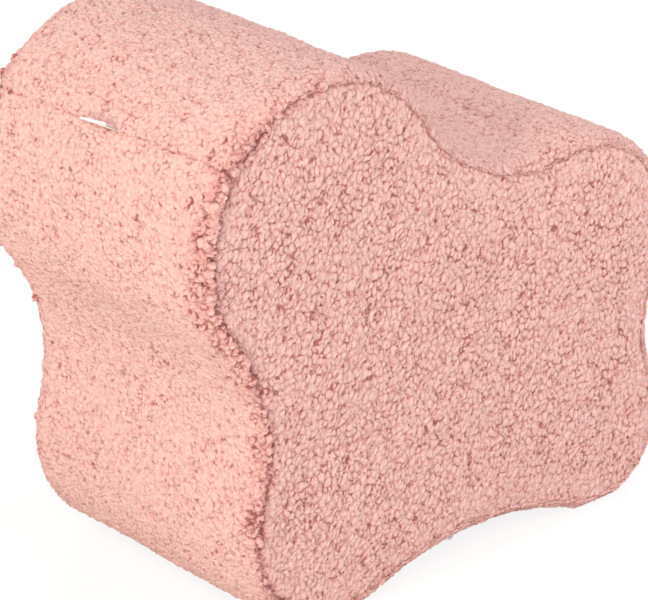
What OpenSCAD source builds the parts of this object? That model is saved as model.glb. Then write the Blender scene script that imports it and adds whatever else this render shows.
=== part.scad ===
// Child's foam seat in a zipped teddy-pile cover, in millimetres.
// X runs from the back (-) to the front (+), Y across the seat, Z up from the floor.

/* [Body] */
// Overall length, back to front
body_l = 440; // [400:1:530]
// Overall width, side panel to side panel
body_w = 240; // [200:1:400]
// Overall height, at the top of the back hump
back_h = 400; // [370:1:480]
// Height of the front lobe, where the seat rolls over
seat_front_h = 295; // [270:1:310]
// How far the back foot stands in from the back of the hump
back_foot_setback = 38; // [30:1:46]
// How far each foot is pressed flat by the seat's weight
foot_press = 2.5; // [1.5:0.1:3.2]

/* [Rounded lobes] */
// Radius of the back hump
hump_r = 110; // [90:1:115]
// Radius of the front lobe
front_lobe_r = 92; // [76:1:100]
// Radius of the front foot
front_foot_r = 66; // [58:1:80]
// Radius of the back foot
back_foot_r = 85; // [70:1:90]

/* [Hollows between the lobes] */
// Radius of the hollow of the seat
seat_r = 127; // [105:1:160]
// Radius of the hollow down the front
front_waist_r = 68; // [56:1:90]
// Radius of the arch under the seat
arch_r = 258; // [215:1:310]
// Radius of the hollow down the back
back_waist_r = 127; // [105:1:160]

/* [Cover] */
// Thickness of the pile cloth
cloth_t = 6; // [5:0.1:7.5]
// Thickness of the inner liner
liner_t = 0.8; // [0.5:0.1:1.5]
// Width of the liner's slit, over the zip
slit_w = 3; // [1:0.5:8]
// How far in from the edge the side seams lie
seam_inset = 11; // [9.5:0.1:14]
// Thickness of one turned seam allowance, its pile crushed flat
allowance_t = 1.4; // [1:0.1:1.8]
// How far the side seam allowances reach in from the cloth
allowance_d = 8; // [6:0.1:12]
// Thickness of the sewing thread
thread_d = 0.8; // [0.5:0.1:1]
// Length of one stitch in the zip tapes
stitch_l = 3; // [2:0.1:4]
// Gap between two stitches in the zip tapes
stitch_gap = 1; // [0.6:0.1:2]

/* [Label] */
// Where the label's seam lies on the hump, in degrees up from the front
label_angle = 145; // [125:1:160]
// Width of the folded label, along its seam
label_w = 25; // [20:1:60]
// Thickness of the folded label
label_t = 1; // [0.6:0.1:1.4]
// How far the label stands out of the pile
label_out = 11; // [8:1:25]
// How far the label's middle is from the seat's middle
label_y = -1; // [-40:1:40]

/* [Zip] */
// Length of the zip's opening across the arch
zip_l = 190; // [140:1:198]
// Width of the gap that the cloth leaves for the slider
zip_gap = 10; // [9:0.1:14]
// Width of one tape
tape_w = 13; // [10:0.1:18]
// Thickness of a tape
tape_t = 0.6; // [0.4:0.1:0.8]
// Gap between the two tapes, for the slider's wedge
tape_gap = 1.8; // [1.4:0.1:2.4]
// How deep the teeth lie inside the pile's surface
teeth_inset = 1.2; // [0.8:0.1:1.6]
// Width of one row of teeth, from the zip's middle
tooth_w = 2.6; // [2:0.1:3]
// How far each tooth reaches past the zip's middle
tooth_reach = 0.6; // [0.4:0.1:1]
// Height of a tooth
tooth_t = 2; // [1.6:0.1:2.2]
// Length of a tooth, along the zip
tooth_l = 0.8; // [0.5:0.05:0.9]
// Distance from one tooth to the next in its row
tooth_pitch = 2; // [1.9:0.1:2.6]
// Length of a stop
stop_l = 2; // [1.5:0.1:3]
// Length of the slider
slider_l = 10; // [8:0.1:12]
// Length of the slider's wedge
wedge_l = 3; // [2:0.1:4]
// Thickness of the slider's plates
plate_t = 1.2; // [0.9:0.1:1.3]
// Thickness of the slider's side walls and lugs
wall_t = 0.8; // [0.7:0.1:1]
// Clearance around everything that slides or turns
run_gap = 0.3; // [0.2:0.05:0.4]
// Radius of the slider's pin
pin_r = 0.5; // [0.45:0.05:0.7]
// Radial clearance of the pull on its pin
pin_gap = 0.08; // [0.04:0.01:0.1]
// Length of the pull below its pin
pull_l = 14; // [10:0.5:15]
// Width of the pull
pull_w = 7; // [5:0.1:7.6]
// Thickness of the pull
pull_t = 1.2; // [1:0.1:1.6]
// Width of the pull's neck, between the slider's lugs
neck_w = 1.6; // [1.2:0.1:1.8]
// Width of the pull's rim, round its window
pull_rim = 1.8; // [1.4:0.1:2.2]
// Length of the straight part of the pull's window
window_l = 3; // [1:0.1:4]

/* [Hidden] */
$fn = 48;
arc_steps = 22;          // straight steps in each arc of the outline
overlap = 0.01;          // how far two parts of one solid run into each other
past = 20;               // how far a cut runs past what it cuts
slack = 1;               // room left round what is tucked in or laid in

cloth_color = [0.93, 0.70, 0.65];
liner_color = [0.95, 0.94, 0.90];
foam_color = [0.97, 0.93, 0.78];
thread_color = [0.80, 0.52, 0.48];
tape_color = [0.90, 0.62, 0.57];
label_color = [0.97, 0.97, 0.96];
metal_color = [0.75, 0.72, 0.68];

// Lobes in order round the outline, clockwise from the hump: centre and radius
hump_c = [-body_l / 2 + hump_r, back_h - hump_r];
front_lobe_c = [body_l / 2 - front_lobe_r, seat_front_h - front_lobe_r];
front_foot_c = [body_l / 2 - front_foot_r, front_foot_r - foot_press];
back_foot_c = [-body_l / 2 + back_foot_setback + back_foot_r, back_foot_r - foot_press];
lobe_c = [hump_c, front_lobe_c, front_foot_c, back_foot_c];
lobe_r = [hump_r, front_lobe_r, front_foot_r, back_foot_r];
hollow_r = [seat_r, front_waist_r, arch_r, back_waist_r];

// Centre of the circle of radius r that touches two lobes from outside the outline
function touching(c1, r1, c2, r2, r) =
    let (d = norm(c2 - c1), u = (c2 - c1) / d, a = r1 + r, b = r2 + r,
         x = (a * a - b * b + d * d) / (2 * d), y = sqrt(a * a - x * x))
    c1 + u * x + [-u[1], u[0]] * y;
hollow_c = [for (i = [0:3])
    touching(lobe_c[i], lobe_r[i], lobe_c[(i + 1) % 4], lobe_r[(i + 1) % 4], hollow_r[i])];

function heading(from, to) = atan2(to[1] - from[1], to[0] - from[0]);
function below(a, limit) = a > limit ? a - 360 : a;
function above(a, limit) = a < limit ? a + 360 : a;
function arc(c, r, a0, a1) =
    [for (k = [0:arc_steps]) let (a = a0 + (a1 - a0) * k / arc_steps) c + r * [cos(a), sin(a)]];

// One lobe's arc, clockwise; a foot's has a flat where it stands
function lobe_arc(i, d) =
    let (c = lobe_c[i], r = lobe_r[i] - d,
         a0 = heading(c, hollow_c[(i + 3) % 4]), a1 = below(heading(c, hollow_c[i]), a0),
         flat = acos((r - foot_press) / r))
    i < 2 ? arc(c, r, a0, a1)
          : concat(arc(c, r, a0, -90 + flat), arc(c, r, -90 - flat, a1));
function hollow_arc(i, d) =
    let (c = hollow_c[i], a0 = heading(c, lobe_c[i]))
    arc(c, hollow_r[i] + d, a0, above(heading(c, lobe_c[(i + 1) % 4]), a0));
function inner_of(points) = [for (k = [1:len(points) - 2]) points[k]];

// The whole outline, at depth d inside the pile's surface
function outline(d) =
    [for (i = [0:3]) each concat(lobe_arc(i, d), inner_of(hollow_arc(i, d)))];

// Places that the pieces share
foam_d = cloth_t + liner_t;
half_w = body_w / 2;
panel_y = half_w - cloth_t;                       // inner face of a side panel
tuck_y = panel_y - allowance_d - slack;           // where the foam's edges are cut back
tuck_d = seam_inset + allowance_t + slack;        // how far they are cut back
arch_c = hollow_c[2];
zip_x = arch_c[0];
arch_z = arch_c[1] + arch_r;                      // pile surface at the top of the arch

// Heights in the zip, up from the pile surface
teeth_z = arch_z + teeth_inset;
tape_z = teeth_z + tooth_t;
inner_plate_z = tape_z + tape_t + run_gap;
outer_plate_z = teeth_z - run_gap - plate_t;
cloth_top_z = arch_z + cloth_t + slack;           // above the cloth's inner face
zip_room_w = tape_gap / 2 + tape_w + slack / 2;   // half width of the room for the tapes
gap_l = zip_l + 2 * (stop_l + slack);             // the gap in the cloth, stops and all
tape_tail = 3;                                    // how far a tape runs past that gap
stitch_in = 3;                                    // how far a tape's stitches lie in from its edge
tape_l = gap_l + 2 * tape_tail;
slider_w = tooth_w + run_gap + wall_t;            // half width of the slider
closed_y = -zip_l / 2 + slider_l / 2;             // the slider's middle, with the zip closed
wedge_y = closed_y - slider_l / 2 + wedge_l / 2;
wedge_w = tape_gap - 2 * run_gap;
teeth_from = wedge_y + wedge_l / 2 + run_gap;
teeth_to = zip_l / 2;
lug_r = pin_r + wall_t;
lug_x = neck_w / 2 + run_gap;                     // inner face of a lug
pin_z = outer_plate_z - lug_r - run_gap;
eye_r = lug_r;

// A prism of the outline, across the seat from y0 to y1
module slab(d, y0, y1) {
    translate([0, y1, 0]) rotate([90, 0, 0]) linear_extrude(y1 - y0) polygon(outline(d));
}

// A band of the outline between two depths
module band(d0, d1, y0, y1) {
    translate([0, y1, 0]) rotate([90, 0, 0]) linear_extrude(y1 - y0) difference() {
        polygon(outline(d0));
        polygon(outline(d1));
    }
}

// The foam's shape, grown by g all round
module block(g) {
    slab(foam_d - g, -tuck_y - g, tuck_y + g);
    slab(tuck_d + liner_t - g, -panel_y + liner_t - g, panel_y - liner_t + g);
}

// A box between two corners
module brick(from, to) {
    translate(from) cube(to - from);
}

module foam_core() {
    color(foam_color) block(0);
}

module inner_liner() {
    color(liner_color) difference() {
        block(liner_t);
        block(0);
        // The slit that the foam goes in through
        brick([zip_x - slit_w / 2, -zip_l / 2, arch_z],
              [zip_x + slit_w / 2, zip_l / 2, arch_z + past]);
    }
}

// A side panel with its allowance turned in, at the -Y side
module side_panel() {
    color(cloth_color) difference() {
        union() {
            slab(seam_inset, -half_w, -panel_y);
            band(seam_inset, seam_inset + allowance_t, -panel_y, -panel_y + allowance_d);
        }
        side_thread_line();
    }
}

// The line of thread that joins a side panel to the strips
module side_thread_line() {
    band(seam_inset - thread_d / 2, seam_inset + thread_d / 2,
         -panel_y + thread_d, -panel_y + 2 * thread_d);
}

module side_panel_near() {
    side_panel();
}

module side_panel_far() {
    mirror([0, 1, 0]) side_panel();
}

module side_thread_near() {
    color(thread_color) side_thread_line();
}

module side_thread_far() {
    color(thread_color) mirror([0, 1, 0]) side_thread_line();
}

// The strip all the way round: its face, its edges rolled over the sides, its allowances
module whole_strip() {
    difference() {
        union() {
            band(0, cloth_t, -half_w, half_w);
            for (side = [0, 1]) mirror([0, side, 0]) {
                band(cloth_t - overlap, seam_inset, -half_w, -panel_y);
                band(seam_inset - allowance_t, seam_inset,
                     -panel_y - overlap, -panel_y + allowance_d);
            }
        }
        for (side = [0, 1]) mirror([0, side, 0]) side_thread_line();
        zip_room();
        arch_thread_bars();
    }
}

// What the zip takes out of the strips
module zip_room() {
    brick([zip_x - zip_gap / 2, -gap_l / 2, arch_z - past],
          [zip_x + zip_gap / 2, gap_l / 2, cloth_top_z]);
    brick([zip_x - zip_room_w, -tape_l / 2, tape_z],
          [zip_x + zip_room_w, tape_l / 2, cloth_top_z]);
}

// The part of a section that the back strip takes, from the label's seam to the zip
module back_part() {
    far = body_l + back_h;
    translate([0, half_w + past, 0]) rotate([90, 0, 0]) linear_extrude(body_w + 2 * past)
        polygon([
            hump_c,
            hump_c + far * [cos(label_angle), sin(label_angle)],
            [-far, -far],
            [zip_x, -far],
            [zip_x, arch_z + 3 * cloth_t]
        ]);
}

// Places its children on the hump's seam: X out of the pile, Z down along the back strip
module at_label_seam() {
    translate([hump_c[0], 0, hump_c[1]]) rotate([0, -label_angle, 0]) children();
}

// Two threads, one each side of the hump's seam, inside the cloth
module hump_thread_bars() {
    seam_half = panel_y - allowance_d;
    at_label_seam() for (side = [-1, 1])
        translate([hump_r - cloth_t + thread_d, -seam_half,
                   side * (label_t + thread_d) - thread_d / 2])
            cube([thread_d, 2 * seam_half, thread_d]);
}

// The same threads at the two ends of the arch's seam, past the zip
module arch_thread_bars() {
    from_y = tape_l / 2 + slack;
    for (side = [-1, 1], end = [0, 1]) mirror([0, end, 0])
        translate([zip_x + side * 2 * thread_d - thread_d / 2, from_y, arch_z + cloth_t / 2])
            cube([thread_d, panel_y - allowance_d - from_y, thread_d]);
}

module label_shape() {
    tail = cloth_t - thread_d / 2;
    at_label_seam() translate([hump_r - tail, label_y - label_w / 2, 0])
        cube([tail + label_out, label_w, label_t]);
}

module back_strip() {
    color(cloth_color) difference() {
        intersection() {
            whole_strip();
            back_part();
        }
        hump_thread_bars();
        label_shape();
    }
}

module seat_strip() {
    color(cloth_color) difference() {
        whole_strip();
        back_part();
        hump_thread_bars();
    }
}

module hump_thread() {
    color(thread_color) hump_thread_bars();
}

module arch_thread() {
    color(thread_color) arch_thread_bars();
}

module blank_label() {
    color(label_color) label_shape();
}

// One tape, on the front side of the zip
module zip_tape() {
    color(tape_color)
        brick([zip_x + tape_gap / 2, -tape_l / 2, tape_z],
              [zip_x + tape_gap / 2 + tape_w, tape_l / 2, tape_z + tape_t]);
}

module mirror_at_zip() {
    translate([zip_x, 0, 0]) mirror([1, 0, 0]) translate([-zip_x, 0, 0]) children();
}

module zip_tape_front() {
    zip_tape();
}

module zip_tape_back() {
    mirror_at_zip() zip_tape();
}

// Stitches that hold the tapes to the strips
module zip_thread() {
    pitch = stitch_l + stitch_gap;
    count = floor(tape_l / pitch);
    line_x = tape_gap / 2 + tape_w - stitch_in;
    color(thread_color) for (side = [-1, 1], k = [0:count - 1])
        translate([zip_x + side * line_x - thread_d / 2,
                   -count * pitch / 2 + stitch_gap / 2 + k * pitch, tape_z + tape_t])
            cube([thread_d, stitch_l, thread_d / 2]);
}

// One row of teeth on the front side of the zip, its first tooth at from_y
module zip_teeth(from_y) {
    count = floor((teeth_to - from_y) / tooth_pitch);
    color(tape_color) for (k = [0:count - 1])
        translate([zip_x - tooth_reach, from_y + k * tooth_pitch, teeth_z])
            cube([tooth_w + tooth_reach, tooth_l, tooth_t]);
}

module zip_teeth_front() {
    zip_teeth(teeth_from);
}

// The back row's teeth stand in the front row's gaps
module zip_teeth_back() {
    mirror_at_zip() zip_teeth(teeth_from + tooth_pitch / 2);
}

// Small metal stops that the closed slider rests against, one on each tape
module zip_top_stops() {
    stop_y = closed_y - slider_l / 2 - run_gap;
    color(metal_color) for (side = [0, 1]) translate([zip_x, 0, 0]) mirror([side, 0, 0])
        brick([tape_gap / 2, stop_y - stop_l, teeth_z], [tooth_w, stop_y, tape_z]);
}

// The metal clip across both rows at the other end
module zip_bottom_stop() {
    color(metal_color)
        brick([zip_x - tooth_w, teeth_to, teeth_z], [zip_x + tooth_w, teeth_to + stop_l, tape_z]);
}

module zip_slider() {
    y0 = closed_y - slider_l / 2;
    y1 = closed_y + slider_l / 2;
    color(metal_color) {
        // Outer plate, and the walls that hold the rows of teeth together
        brick([zip_x - slider_w, y0, outer_plate_z], [zip_x + slider_w, y1, outer_plate_z + plate_t]);
        for (side = [0, 1]) translate([zip_x, 0, 0]) mirror([side, 0, 0])
            brick([slider_w - wall_t, y0, outer_plate_z], [slider_w, y1, tape_z - run_gap]);
        // Wedge and inner plate
        brick([zip_x - wedge_w / 2, y0, outer_plate_z],
              [zip_x + wedge_w / 2, y0 + wedge_l, inner_plate_z + plate_t]);
        brick([zip_x - slider_w, y0, inner_plate_z], [zip_x + slider_w, y1, inner_plate_z + plate_t]);
        // Lugs and the pull's pin
        for (side = [0, 1]) translate([zip_x, closed_y, 0]) mirror([side, 0, 0]) {
            translate([lug_x, 0, pin_z]) rotate([0, 90, 0]) cylinder(r = lug_r, h = wall_t);
            brick([lug_x, -lug_r, pin_z], [lug_x + wall_t, lug_r, outer_plate_z + plate_t / 2]);
        }
        translate([zip_x - lug_x - wall_t, closed_y, pin_z]) rotate([0, 90, 0])
            cylinder(r = pin_r, h = 2 * (lug_x + wall_t));
    }
}

module zip_pull() {
    end_r = pull_w / 2;
    tip_z = -pull_l + end_r;                      // centre of the pull's round end
    slot_r = end_r - pull_rim;
    shoulder = lug_r + run_gap;
    color(metal_color) translate([zip_x, closed_y, pin_z]) difference() {
        union() {
            translate([-neck_w / 2, 0, 0]) rotate([0, 90, 0]) cylinder(r = eye_r, h = neck_w);
            brick([-neck_w / 2, -pull_t / 2, tip_z], [neck_w / 2, pull_t / 2, 0]);
            brick([-end_r, -pull_t / 2, tip_z], [end_r, pull_t / 2, -shoulder]);
            translate([0, pull_t / 2, tip_z]) rotate([90, 0, 0]) cylinder(r = end_r, h = pull_t);
        }
        translate([-neck_w, 0, 0]) rotate([0, 90, 0])
            cylinder(r = pin_r + pin_gap, h = 2 * neck_w);
        // The window, with round ends
        for (z = [tip_z, tip_z + window_l])
            translate([0, pull_t, z]) rotate([90, 0, 0]) cylinder(r = slot_r, h = 2 * pull_t);
        brick([-slot_r, -pull_t, tip_z], [slot_r, pull_t, tip_z + window_l]);
    }
}

foam_core();
inner_liner();
side_panel_near();
side_panel_far();
back_strip();
seat_strip();
side_thread_near();
side_thread_far();
hump_thread();
arch_thread();
zip_thread();
blank_label();
zip_tape_back();
zip_tape_front();
zip_teeth_back();
zip_teeth_front();
zip_top_stops();
zip_bottom_stop();
zip_slider();
zip_pull();
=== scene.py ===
import math

import bmesh
import bpy
import numpy as np
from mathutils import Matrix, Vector


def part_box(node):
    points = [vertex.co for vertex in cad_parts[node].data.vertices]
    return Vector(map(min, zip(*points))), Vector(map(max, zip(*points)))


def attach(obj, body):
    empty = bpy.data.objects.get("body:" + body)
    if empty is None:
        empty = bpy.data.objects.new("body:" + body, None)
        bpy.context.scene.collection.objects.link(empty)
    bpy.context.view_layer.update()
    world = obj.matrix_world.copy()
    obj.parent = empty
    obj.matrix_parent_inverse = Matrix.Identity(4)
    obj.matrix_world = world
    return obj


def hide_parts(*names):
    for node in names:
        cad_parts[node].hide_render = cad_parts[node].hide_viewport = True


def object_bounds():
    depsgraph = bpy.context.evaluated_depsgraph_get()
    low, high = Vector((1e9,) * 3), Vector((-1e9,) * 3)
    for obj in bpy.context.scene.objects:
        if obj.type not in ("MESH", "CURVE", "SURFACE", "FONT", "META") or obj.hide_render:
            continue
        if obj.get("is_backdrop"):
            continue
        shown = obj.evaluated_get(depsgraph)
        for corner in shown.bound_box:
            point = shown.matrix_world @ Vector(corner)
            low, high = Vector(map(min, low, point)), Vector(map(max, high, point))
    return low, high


# A child's foam seat: curly pile cloth sewn over foam, a folded label in the hump's seam, a zip underneath.
# Lengths here are in millimetres; a mesh is made in metres.

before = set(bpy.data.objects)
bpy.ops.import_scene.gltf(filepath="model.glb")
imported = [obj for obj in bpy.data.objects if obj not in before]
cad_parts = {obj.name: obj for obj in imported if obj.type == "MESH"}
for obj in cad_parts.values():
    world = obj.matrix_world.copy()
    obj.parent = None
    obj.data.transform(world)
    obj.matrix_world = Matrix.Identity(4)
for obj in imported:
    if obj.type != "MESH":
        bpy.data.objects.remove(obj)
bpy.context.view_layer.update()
MM = 0.001

# The outline's arcs: lobes (hump, front lobe, front foot, back foot) and the hollows after them
LOBE_R = (110, 92, 66, 85)
HOLLOW_R = (127, 68, 258, 127)
SEAT_FRONT_H = 295
BACK_FOOT_SETBACK = 38
FOOT_PRESS = 2.5

# The cover
CLOTH_T = 6
BACKING_D = 5.6  # how deep the back of the cloth lies
ALLOWANCE_T, ALLOWANCE_D = 1.4, 8  # the edges turned in at a seam
LINER_T = 0.8
SLACK = 1  # room left round what is tucked in
SLIT_W, SLIT_L = 3, 190  # the liner's slit, over the zip
ZIP_GAP = 10  # the gap in the cloth along the zip

# The side seams
SEAM_INSET = 11  # how far in from the edge they lie
SEAM_ROOT = 5.2  # how far below the side's face the two allowances meet
GROOVE_W = 2.6  # half the width of the groove, on the strip's side
GROOVE_D = 4.4  # how deep the groove is before the allowances go in
GROOVE_SHUT = 0.12  # what is left of the groove's width along the seat, the front and the feet
PANEL_GROOVE_W = 4.5  # how far in from a seam a panel's pile rounds over into it
ROLL_W = 17  # how far across the strip its edge rounds over
ROLL_DROP = 1.6  # how far the strip's edge stays below the side's face

# The hump's seam
LABEL_ANGLE = 145  # where it lies, up from the front
SEAM_SLANT = -0.030  # how much further round it lies for each step across
SEAM_LAP = 0.7  # how far each strip's pile leans over it
CREASE_W, CREASE_D = 2.8, 2.5  # the crease at a strip's ends

# Thread
STITCH_L, STITCH_PITCH = 3.3, 4.0
THREAD_R = 0.4
SIDE_THREAD_D = 1.2  # how far the side seams' thread lies inside a panel's inner face
SEAM_THREAD_D = 4.8  # how deep the hump seam's threads lie
SEAM_THREAD_OFF = 1.8  # how far each lies from the seam's line

# The folded label
LABEL_W = 25  # along the seam
LABEL_Y = -1
LABEL_OUT, LABEL_TAIL = 11, 5  # out of the pile, and into the seam
SATIN_T = 0.3

# The pile
SPACING = 0.88  # between two points of its surface
STRIP_CURL = (3.9, 4.2)  # a curl's size along a strip and across it
PANEL_CURL = (4.5, 5.4)  # a curl's size along a panel and up it
CURL_H = 2.8
TUFT_PITCH = 7.4
TUFT_H = 3.6
TUFT_REACH = 20.0  # how far from a side seam the longer tufts grow
NEAR_TUFTS, FAR_TUFTS = 420, 42  # ball-shaped tufts at each side
TUFT_R = (1.9, 3.8)
TUFT_FROM, TUFT_SPREAD = 3.0, 6.5  # how far along a strip's section they start, and spread
FIELD = 512  # curls in a field before it repeats
PANEL_FIELD_AT = 500  # where the panels lie in the field, away from the strips
SEED = 41

# Floor, light and camera. A lamp has its place in metres, its width, power and colour.
FLOOR_HALF_W = 6.0
FLOOR_GLOW = 1.08
FILL = 0.42
LAMPS = (
    ("main", (-1.9, -1.7, 2.0), 0.6, 31, (1.0, 0.995, 0.98)),
    ("key", (-2.6, -0.9, 0.9), 0.8, 30, (1.0, 0.95, 0.80)),
    ("side", (1.0, -1.1, 0.7), 0.5, 7, (0.98, 0.99, 1.0)),
    ("far", (1.4, 2.6, 1.8), 0.8, 20, (1.0, 1.0, 1.0)),
    ("back", (-1.2, 0.5, 1.5), 0.8, 4, (1.0, 0.97, 0.88)),
    ("top", (0.6, -0.5, 3.0), 0.8, 13, (1.0, 0.99, 0.97)),
)
CAMERA_AZIMUTH, CAMERA_ELEVATION = math.radians(-41.92), math.radians(23.74)
CAMERA_DISTANCE = 2526
CAMERA_LENS = 201
AIM_RIGHT, AIM_UP = 6.2, 26.7


def box_of(*nodes):
    """Lowest and highest corner of these nodes together, in millimetres."""
    boxes = [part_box(n) for n in nodes]
    low = np.min([b[0] for b in boxes], axis=0) / MM
    high = np.max([b[1] for b in boxes], axis=0) / MM
    return low, high


COVER_LOW, COVER_HIGH = box_of("back_strip", "seat_strip")
HALF_W = COVER_HIGH[1]
HEIGHT = round(float(COVER_HIGH[2]), 1)
BACK_X, FRONT_X = np.round(COVER_LOW[0]), np.round(COVER_HIGH[0])
TAPE_LOW, TAPE_HIGH = box_of("zip_tape_back", "zip_tape_front")
ZIP_X = (TAPE_LOW[0] + TAPE_HIGH[0]) / 2
GAP_L = TAPE_HIGH[1] - TAPE_LOW[1] - 6
PANEL_Y = HALF_W - CLOTH_T          # the inner face of a side panel


def heading(start, end):
    return math.atan2(end[1] - start[1], end[0] - start[0])


class Outline:
    """The side view's outline, clockwise from the hump's back: touching arcs, lobes and hollows in turn."""

    def __init__(self):
        hump, front_lobe, front_foot, back_foot = LOBE_R
        centres = [
            np.array([BACK_X + hump, HEIGHT - hump]),
            np.array([FRONT_X - front_lobe, SEAT_FRONT_H - front_lobe]),
            np.array([FRONT_X - front_foot, front_foot - FOOT_PRESS]),
            np.array([BACK_X + BACK_FOOT_SETBACK + back_foot, back_foot - FOOT_PRESS]),
        ]
        after = centres[1:] + centres[:1]
        radii_after = LOBE_R[1:] + LOBE_R[:1]
        hollows = [
            self.touching(*sizes) for sizes in zip(centres, LOBE_R, after, radii_after, HOLLOW_R)
        ]
        before = hollows[-1:] + hollows[:-1]
        self.arcs = []
        for i in range(4):
            start = heading(centres[i], before[i])
            sweep = -((start - heading(centres[i], hollows[i])) % math.tau)
            self.arcs.append((centres[i], LOBE_R[i], start, sweep, 1))
            start = heading(hollows[i], centres[i])
            sweep = (heading(hollows[i], after[i]) - start) % math.tau
            self.arcs.append((hollows[i], HOLLOW_R[i], start, sweep, -1))
        lengths = [abs(sweep) * radius for _, radius, _, sweep, _ in self.arcs]
        self.ends = np.cumsum(lengths)
        self.length = float(self.ends[-1])

    @staticmethod
    def touching(c1, r1, c2, r2, r):
        """Centre of the circle of radius r that touches two lobes from outside."""
        apart = np.linalg.norm(c2 - c1)
        u = (c2 - c1) / apart
        a, b = r1 + r, r2 + r
        x = (a * a - b * b + apart * apart) / (2 * apart)
        return c1 + u * x + np.array([-u[1], u[0]]) * math.sqrt(a * a - x * x)

    def at(self, s, depth=0.0):
        """Points at distance s round the outline and that depth inside it, and the way out from there."""
        s = np.asarray(s, float) % self.length
        arc = np.minimum(np.searchsorted(self.ends, s, side="right"), len(self.arcs) - 1)
        centre = np.array([a[0] for a in self.arcs])[arc]
        radius, start, sweep, side = (np.array([a[k] for a in self.arcs])[arc] for k in (1, 2, 3, 4))
        length = np.abs(sweep) * radius
        angle = start + sweep * (s - (self.ends[arc] - length)) / length
        radial = np.stack([np.cos(angle), np.sin(angle)], axis=-1)
        depth = np.broadcast_to(depth, s.shape)
        point = centre + radial * (radius - side * depth)[..., None]
        point[..., 1] = np.maximum(point[..., 1], depth)
        return point, radial * side[..., None]

    def along_to(self, arc, angle):
        """Distance round the outline to an angle on one of its arcs."""
        _, radius, start, sweep, _ = self.arcs[arc]
        turned = (start - angle) % math.tau if sweep < 0 else (angle - start) % math.tau
        return float(self.ends[arc] - abs(sweep) * radius + turned * radius)


outline = Outline()


def seam_wander(s):
    """How far a side seam strays from its line, in wavers that meet themselves after one round."""
    turn = math.tau * s / outline.length
    slow = 0.5 * np.sin(19 * turn + 1) + 0.45 * np.sin(43 * turn + 2)
    return slow + 0.4 * np.sin(97 * turn) + 0.3 * np.sin(151 * turn)


def hump_seam_at(y):
    """How far round from HUMP_SEAM the hump's seam lies at each place across."""
    return SEAM_SLANT * y + 0.5 * np.sin(y / 3.1 + 1) + 0.45 * np.sin(y / 1.7) + 0.4 * np.sin(y / 8.3)


HUMP_SEAM = outline.along_to(0, math.radians(LABEL_ANGLE))
ZIP_SEAM = outline.along_to(5, math.pi / 2)
BACK_L = (HUMP_SEAM - ZIP_SEAM) % outline.length


def soft_noise(q, wave, seed):
    """Smooth noise from -1 to 1 over flat points q, with bumps about one wave apart."""
    table = np.random.default_rng(seed).random((64, 64)) * 2 - 1
    cell = np.floor(q / wave).astype(int)
    part = q / wave - cell
    part = part * part * (3 - 2 * part)
    (i, j), (u, v) = cell.T % 64, part.T
    right, above = (i + 1) % 64, (j + 1) % 64
    low = table[i, j] * (1 - u) + table[right, j] * u
    high = table[i, above] * (1 - u) + table[right, above] * u
    return low * (1 - v) + high * v


def smooth_step(x):
    x = np.clip(x, 0, 1)
    return x * x * (3 - 2 * x)


def bell(x, width):
    return np.exp(-((x / width) ** 2))


def dip(e, width, depth):
    """How far the cloth drops at a distance e from a seam, rounding over into it."""
    short = 1 - np.clip(e / width, 0, 1)
    return depth * (1 - np.sqrt(np.maximum(1 - short * short, 0)))


def curl_field(q, pitch, seed, merged=0.0):
    """The curl over each point of q: how high it stands, how open the point is to light, and the curl's own
    random number. Where merged is over 0, curls run into each other."""
    table = np.random.default_rng(seed).random((FIELD, FIELD, 6))
    q = q / pitch
    cell = np.floor(q).astype(int)
    nearest, second = np.full(len(q), 9.0), np.full(len(q), 9.0)
    own, tall = np.zeros(len(q)), np.zeros(len(q))
    for i in (-1, 0, 1):
        for j in (-1, 0, 1):
            at = cell + (i, j)
            r = table[at[:, 0] % FIELD, at[:, 1] % FIELD]
            away = q - at - 0.5 - 0.95 * (r[:, :2] - 0.5)
            turn = 1.7 * (r[:, 2] - 0.5)
            c, s = np.cos(turn), np.sin(turn)
            u = (away[:, 0] * c + away[:, 1] * s) * (1.0 + 0.35 * r[:, 3])
            v = (away[:, 1] * c - away[:, 0] * s) * (1.0 - 0.30 * r[:, 4])
            gap = np.sqrt(u * u + v * v) - 0.12 * r[:, 5]
            closer = gap < nearest
            second = np.where(closer, nearest, np.minimum(second, gap))
            nearest = np.where(closer, gap, nearest)
            own = np.where(closer, r[:, 5], own)
            tall = np.where(closer, r[:, 3], tall)
    edge = np.clip((second - nearest) / 0.5 + merged, 0, 1)
    pillow = np.sqrt(1 - (1 - edge) ** 2)
    dome = 1 - 1.1 * np.clip(nearest + 0.06, 0, 0.9) ** 2
    filled = smooth_step((nearest - 0.58) / 0.25)
    height = (0.6 * pillow + 0.4 * dome) * (0.78 + 0.44 * tall) + 0.1 * filled
    return height, edge * dome + 0.28 * filled, own


def from_hump(s):
    """How far round the outline places lie from the hump's seam: down the back, and the other way."""
    return (HUMP_SEAM - s) % outline.length, (s - HUMP_SEAM) % outline.length


def groove_share(s):
    """How open the side seams' groove is: full down the back and over the hump, then drawn nearly shut."""
    behind, ahead = from_hump(s)
    full = np.maximum(smooth_step((BACK_L - 80 - behind) / 60), 1 - smooth_step((ahead - 70) / 60))
    return GROOVE_SHUT + (1 - GROOVE_SHUT) * full


def tuft_share(s):
    """How thick the tufts grow beside the side seams: thickest at the hump's seam, then down the back."""
    behind, ahead = from_hump(s)
    down_back = (0.22 + 0.78 * bell(behind, 150)) * smooth_step((BACK_L - 130 - behind) / 50)
    return np.where(behind < BACK_L, down_back, 0.9 * bell(ahead, 65))


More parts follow.
